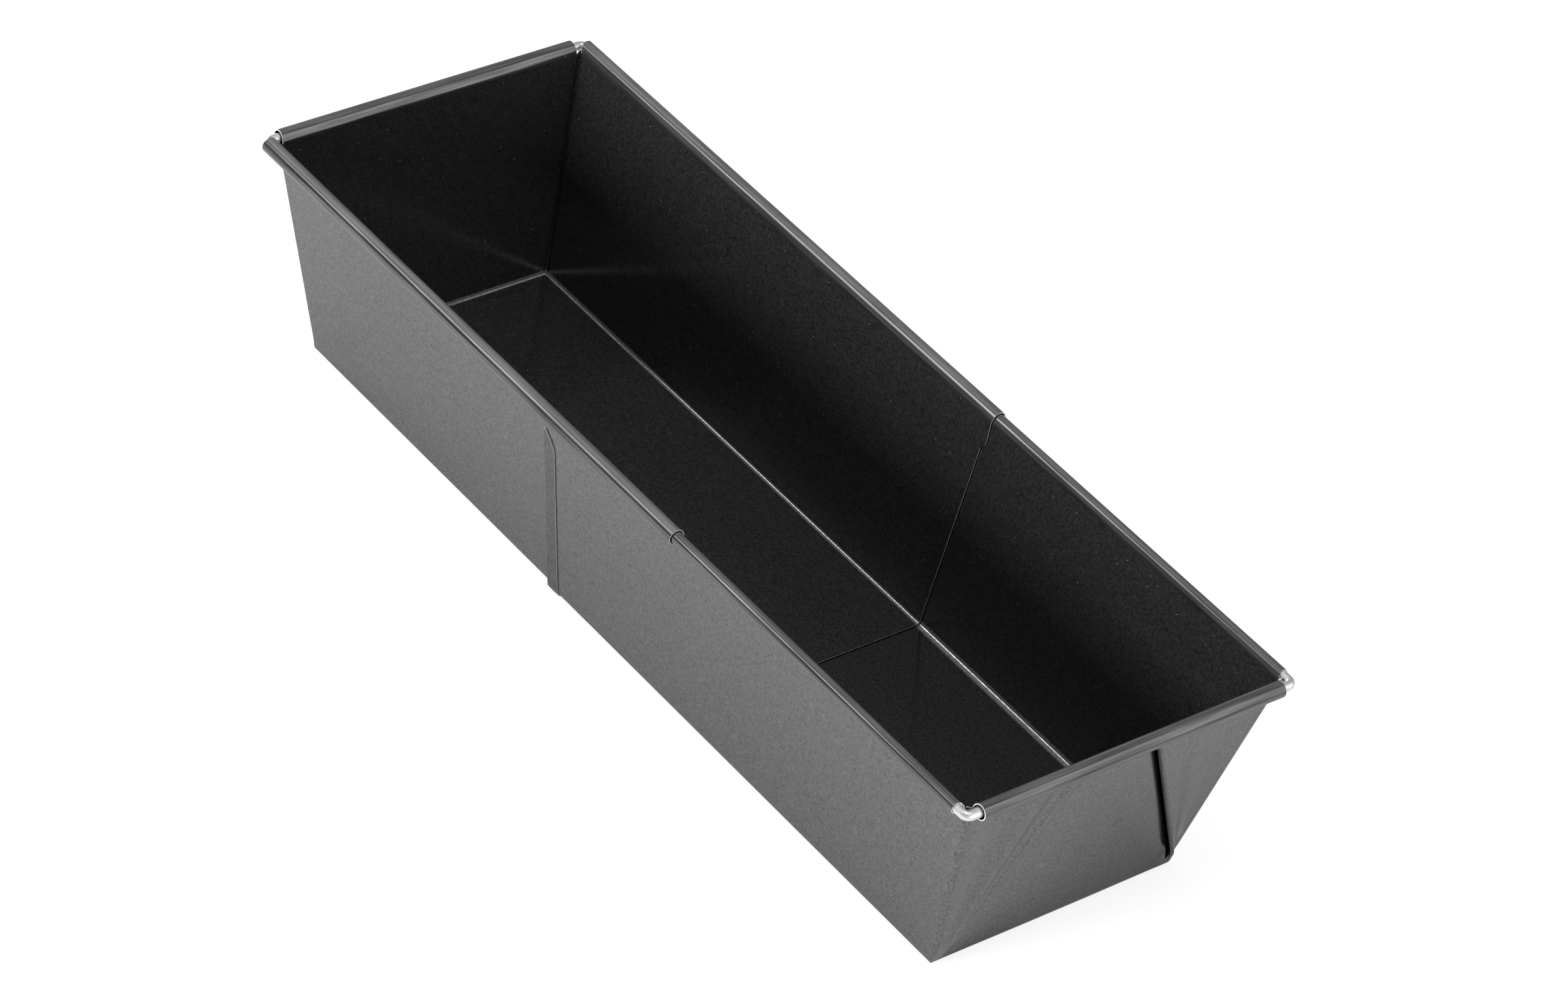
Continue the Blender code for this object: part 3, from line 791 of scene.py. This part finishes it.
def fill(links, socket, value):
    """Links a socket to another node's output, or sets it to a number or a colour."""
    if isinstance(value, bpy.types.NodeSocket):
        links.new(value, socket)
    else:
        socket.default_value = value


def maths(nodes, links, operation, *values):
    """Result of a maths node."""
    node = nodes.new("ShaderNodeMath")
    node.operation = operation
    for socket, value in zip(node.inputs, values):
        fill(links, socket, value)
    return node.outputs[0]


def map_range(nodes, links, value, span, results=(0.0, 1.0)):
    """A value mapped from one span to another, and held at its ends."""
    node = nodes.new("ShaderNodeMapRange")
    node.inputs["From Min"].default_value, node.inputs["From Max"].default_value = span
    node.inputs["To Min"].default_value, node.inputs["To Max"].default_value = results
    links.new(value, node.inputs["Value"])
    return node.outputs["Result"]


def mix_colours(nodes, links, share, first, second):
    """First colour at share 0, second colour at share 1."""
    node = nodes.new("ShaderNodeMix")
    node.data_type = "RGBA"
    for name, value in (("Factor", share), ("A", first), ("B", second)):
        fill(links, node.inputs[name], value)
    return node.outputs["Result"]


def noise(nodes, links, place, scale, detail):
    """Fine noise by place on the object."""
    node = nodes.new("ShaderNodeTexNoise")
    node.inputs["Scale"].default_value = scale
    node.inputs["Detail"].default_value = detail
    links.new(place, node.inputs["Vector"])
    return node.outputs["Fac"]


def two_tone(nodes, links, value, span, colours):
    """Colour that runs from the first to the second over a span of the value."""
    node = nodes.new("ShaderNodeValToRGB")
    for element, position, colour in zip(node.color_ramp.elements, span, colours):
        element.position = position
        element.color = colour
    links.new(value, node.inputs["Fac"])
    return node.outputs["Color"]


def specks(nodes, links, place):
    """1 on a few small round specks, 0 elsewhere."""
    cells = nodes.new("ShaderNodeTexVoronoi")
    cells.inputs["Scale"].default_value = SPECK_SCALE
    links.new(place, cells.inputs["Vector"])
    near = maths(nodes, links, "LESS_THAN", cells.outputs["Distance"], SPECK_SIZE)
    chosen = maths(nodes, links, "GREATER_THAN", cells.outputs["Color"], SPECK_RARITY)
    return maths(nodes, links, "MULTIPLY", near, chosen)


def painted_shade_openness(nodes, links):
    """Mask of the painted shade: 0 deep in tight folds, 1 on open faces."""
    node = nodes.new("ShaderNodeAmbientOcclusion")
    node.samples = PAINTED_SHADE_SAMPLES
    node.inputs["Distance"].default_value = PAINTED_SHADE_REACH
    return map_range(nodes, links, node.outputs["AO"], PAINTED_SHADE_SPAN)


def coating_material(name, ior, stretch, tones=PLAIN_TONES, worn_and_highlit=PLAIN_TONES, roll_radius=BEAD_RADIUS):
    """Satin anthracite coating: fine grain and specks, wear and painted highlight on the rolls' tops,
    painted shade in tight folds.
    """
    material, nodes, links = new_material(name)
    shader = nodes["Principled BSDF"]
    place = nodes.new("ShaderNodeTexCoord").outputs["Object"]
    drawn = nodes.new("ShaderNodeMapping")
    drawn.inputs["Scale"].default_value = stretch
    links.new(place, drawn.inputs["Vector"])
    grain = noise(nodes, links, drawn.outputs["Vector"], GRAIN_SCALE, GRAIN_DETAIL)

    grades = []
    for shades in (tones, worn_and_highlit):
        colours = [[shade * tint for tint in COATING_TINT] + [1] for shade in shades]
        grades.append(two_tone(nodes, links, grain, GRAIN_SPAN, colours))
    axes = nodes.new("ShaderNodeSeparateXYZ")
    links.new(place, axes.inputs[0])
    # the tops of the rolls are lighter: wear and a painted highlight
    worn_and_highlit_heights = [RIM_Z + roll_radius * share for share in WEAR_AND_HIGHLIGHT_SPAN]
    worn_and_highlit_share = map_range(nodes, links, axes.outputs["Z"], worn_and_highlit_heights)
    colour = mix_colours(nodes, links, worn_and_highlit_share, *grades)
    colour = mix_colours(nodes, links, specks(nodes, links, place), colour, grey(SPECK_TONE))
    # painted shade: tight folds are given a near-black colour and a weaker gloss
    unshaded_share = painted_shade_openness(nodes, links)
    colour = mix_colours(nodes, links, unshaded_share, grey(PAINTED_SHADE_TONE), colour)
    links.new(colour, shader.inputs["Base Color"])

    gloss = map_range(nodes, links, grain, GLOSS_SPAN, GLOSS_LEVELS)
    shine = maths(nodes, links, "MULTIPLY", unshaded_share, gloss)
    links.new(shine, shader.inputs["Specular IOR Level"])
    bump = nodes.new("ShaderNodeBump")
    bump.inputs["Strength"].default_value = GRAIN_BUMP
    bump.inputs["Distance"].default_value = GRAIN_DEPTH
    links.new(grain, bump.inputs["Height"])
    links.new(bump.outputs["Normal"], shader.inputs["Normal"])
    shader.inputs["Roughness"].default_value = COATING_ROUGHNESS
    shader.inputs["IOR"].default_value = ior
    return material


def steel_material(name, scale, colours, metallic, roughness):
    """Bare steel with a fine change of tone."""
    material, nodes, links = new_material(name)
    shader = nodes["Principled BSDF"]
    place = nodes.new("ShaderNodeTexCoord").outputs["Object"]
    grain = noise(nodes, links, place, scale, PLAIN_DETAIL)
    links.new(two_tone(nodes, links, grain, FULL_SPAN, colours), shader.inputs["Base Color"])
    shader.inputs["Metallic"].default_value = metallic
    shader.inputs["Roughness"].default_value = roughness
    return material


def painted_light_round_pan(nodes, links):
    """Painted pool of light: 1 under the pan and close round it, falling to FLOOR_FAR_SHARE away from it.
    """
    axes = nodes.new("ShaderNodeSeparateXYZ")
    links.new(nodes.new("ShaderNodeTexCoord").outputs["Object"], axes.inputs[0])
    outside = []
    for axis, half in (("X", END_RIM_X), ("Y", SIDE_RIM_Y)):
        size = maths(nodes, links, "ABSOLUTE", axes.outputs[axis])
        outside.append(maths(nodes, links, "SUBTRACT", size, half))
    reach = maths(nodes, links, "MAXIMUM", *outside)
    return map_range(nodes, links, reach, FLOOR_FADE, (1.0, FLOOR_FAR_SHARE))


def lit_and_glowing(nodes, links, colour, strength):
    """A surface that gives back light and glows by itself."""
    lit = nodes.new("ShaderNodeBsdfDiffuse")
    fill(links, lit.inputs["Color"], colour)
    glow = nodes.new("ShaderNodeEmission")
    glow.inputs["Strength"].default_value = strength
    both = nodes.new("ShaderNodeAddShader")
    links.new(lit.outputs[0], both.inputs[0])
    links.new(glow.outputs[0], both.inputs[1])
    return both.outputs[0]


def mix_shaders(nodes, links, share, first, second):
    """First shader at share 0, second shader at share 1."""
    node = nodes.new("ShaderNodeMixShader")
    for socket, value in zip(node.inputs, (share, first, second)):
        links.new(value, socket)
    return node.outputs[0]


def floor_material():
    """White floor that keeps the pan's soft shadow, seen in its own way by the camera and by the gloss."""
    material, nodes, links = new_material("pale_floor")
    nodes.remove(nodes["Principled BSDF"])
    plain = nodes.new("ShaderNodeBsdfDiffuse")
    plain.inputs["Color"].default_value = grey(FLOOR_TONE)
    camera_share, camera_glow = CAMERA_FLOOR
    for_camera = lit_and_glowing(nodes, links, grey(camera_share), camera_glow)
    glossy_share, glossy_glow = GLOSSY_FLOOR
    # painted pool of light round the pan, which only the gloss sees
    painted_lit_share = maths(nodes, links, "MULTIPLY", painted_light_round_pan(nodes, links), glossy_share)
    for_gloss = lit_and_glowing(nodes, links, painted_lit_share, glossy_glow)
    path = nodes.new("ShaderNodeLightPath").outputs
    through = maths(nodes, links, "MAXIMUM", path["Is Glossy Ray"], path["Is Transmission Ray"])
    surface = mix_shaders(nodes, links, through, plain.outputs[0], for_gloss)
    surface = mix_shaders(nodes, links, path["Is Camera Ray"], surface, for_camera)
    links.new(surface, nodes["Material Output"].inputs["Surface"])
    return material


def build_stage():
    """A plain pale floor."""
    mesh = bmesh.new()
    bmesh.ops.create_grid(mesh, x_segments=1, y_segments=1, size=FLOOR_HALF_SIZE)
    data = bpy.data.meshes.new("floor")
    mesh.to_mesh(data)
    mesh.free()
    data.materials.append(floor_material())
    floor = bpy.data.objects.new("floor", data)
    floor.location.z = -FLOOR_SINK
    bpy.context.scene.collection.objects.link(floor)


def softbox(name, place, size, energy):
    """A square lamp that faces the pan."""
    data = bpy.data.lights.new(name, "AREA")
    data.shape = "SQUARE"
    data.size = size
    data.energy = energy
    item = bpy.data.objects.new(name, data)
    item.location = place
    item.visible_glossy = name != UNMIRRORED
    item.rotation_euler = (SOFTBOX_TARGET - place).to_track_quat("-Z", "Y").to_euler()
    bpy.context.scene.collection.objects.link(item)


def build_lights():
    """The softboxes round the pan and an even weak glow from the world."""
    world = bpy.data.worlds.new("studio")
    bpy.context.scene.world = world
    world.use_nodes = True
    background = world.node_tree.nodes["Background"]
    background.inputs["Color"].default_value = grey(1)
    background.inputs["Strength"].default_value = WORLD_STRENGTH
    for name, azimuth, elevation, size, energy in SOFTBOXES:
        turn, rise = math.radians(azimuth), math.radians(elevation)
        way = Vector((math.cos(turn) * math.cos(rise), math.sin(turn) * math.cos(rise), math.sin(rise)))
        softbox(name, way * SOFTBOX_DISTANCE, size, energy)


def build_camera():
    """The photograph's camera: place, tilt, roll and focal length as solved."""
    azimuth, elevation, roll = CAMERA_AZIMUTH, CAMERA_ELEVATION, CAMERA_ROLL
    back = Vector((math.sin(azimuth) * math.cos(elevation),
                   -math.cos(azimuth) * math.cos(elevation), math.sin(elevation)))
    level = Vector((math.cos(azimuth), math.sin(azimuth), 0))
    upright = back.cross(level)
    right = level * math.cos(roll) + upright * math.sin(roll)
    up = upright * math.cos(roll) - level * math.sin(roll)
    data = bpy.data.cameras.new("photo_camera")
    data.sensor_width = SENSOR_WIDTH
    data.lens = SENSOR_WIDTH * FOCAL_PX / PHOTO_WIDTH
    data.clip_start, data.clip_end = CLIP_RANGE
    camera = bpy.data.objects.new("photo_camera", data)
    turn = Matrix((right, up, back)).transposed()
    camera.matrix_world = Matrix.Translation(CAMERA_TARGET + back * CAMERA_DISTANCE) @ turn.to_4x4()
    bpy.context.scene.collection.objects.link(camera)
    bpy.context.scene.camera = camera


def main():
    plain = coating_material("anthracite_coating", PLAIN_IOR, EVEN)
    bead = coating_material("anthracite_side_bead", PLAIN_IOR, ALONG_X, worn_and_highlit=BEAD_WEAR_AND_PAINTED_HIGHLIGHT)
    slide_roll = coating_material("anthracite_slide_roll", PLAIN_IOR, ALONG_X, worn_and_highlit=SLIDE_ROLL_WEAR_AND_PAINTED_HIGHLIGHT,
                                  roll_radius=SLIDE_ROLL_RADIUS)
    end_roll = coating_material("anthracite_end_roll", PLAIN_IOR, ALONG_Y, worn_and_highlit=END_ROLL_WEAR_AND_PAINTED_HIGHLIGHT,
                                roll_radius=END_ROLL_RADIUS)
    hem = coating_material("anthracite_hem", HEM_IOR, EVEN)
    # the bends into the floor get lighter tones as a painted highlight
    bend = coating_material("anthracite_inner_bend_painted_highlight", BEND_IOR, EVEN, BEND_PAINTED_HIGHLIGHT_TONES)
    cut_edge = steel_material("cut_edge_steel", CUT_EDGE_SCALE, CUT_EDGE_COLOURS, CUT_EDGE_METALLIC,
                              CUT_EDGE_ROUGHNESS)
    wire = steel_material("bright_steel_wire", WIRE_SCALE, WIRE_COLOURS, WIRE_METALLIC, WIRE_ROUGHNESS)

    outer = Tray(BEAD_RADIUS, BEAD_STOP, BEAD_TIP_X, OUTER_FLOOR_Z, OUTER_BEND,
                 (END_BEND_TIGHT, END_BEND_EASY), OUTER_CORNERS, OUTER_FOOT_SHIFTS)
    inner = Tray(SLIDE_ROLL_RADIUS, SLIDE_ROLL_STOP, SLIDE_ROLL_TIP_X, INNER_FLOOR_Z, INNER_BEND,
                 (INNER_BEND, INNER_BEND), INNER_CORNERS, INNER_FOOT_SHIFTS)
    build_tray("outer_tray", outer, [plain, cut_edge, bead, end_roll, hem, bend], outer_open_edge,
               OUTER_OPEN_X, ((1, SPRUNG_FACE, True), (-1, RIPPLED_FACE, False)))
    build_wire("outer_tray", wire, OUTER_WIRE_END_X)
    build_tray("inner_tray", inner, [plain, cut_edge, slide_roll, end_roll, hem, bend], inner_open_edge,
               -INNER_ROLL_OPEN_X, ((1, PRESSED_FACE, False), (-1, RIPPLED_FACE, False)), inner=True)
    build_wire("inner_tray", wire, END_RIM_X - INNER_WIRE_LEG, inner=True)
    build_stage()
    build_lights()
    build_camera()
    bpy.context.scene.view_settings.view_transform = "Standard"


main()
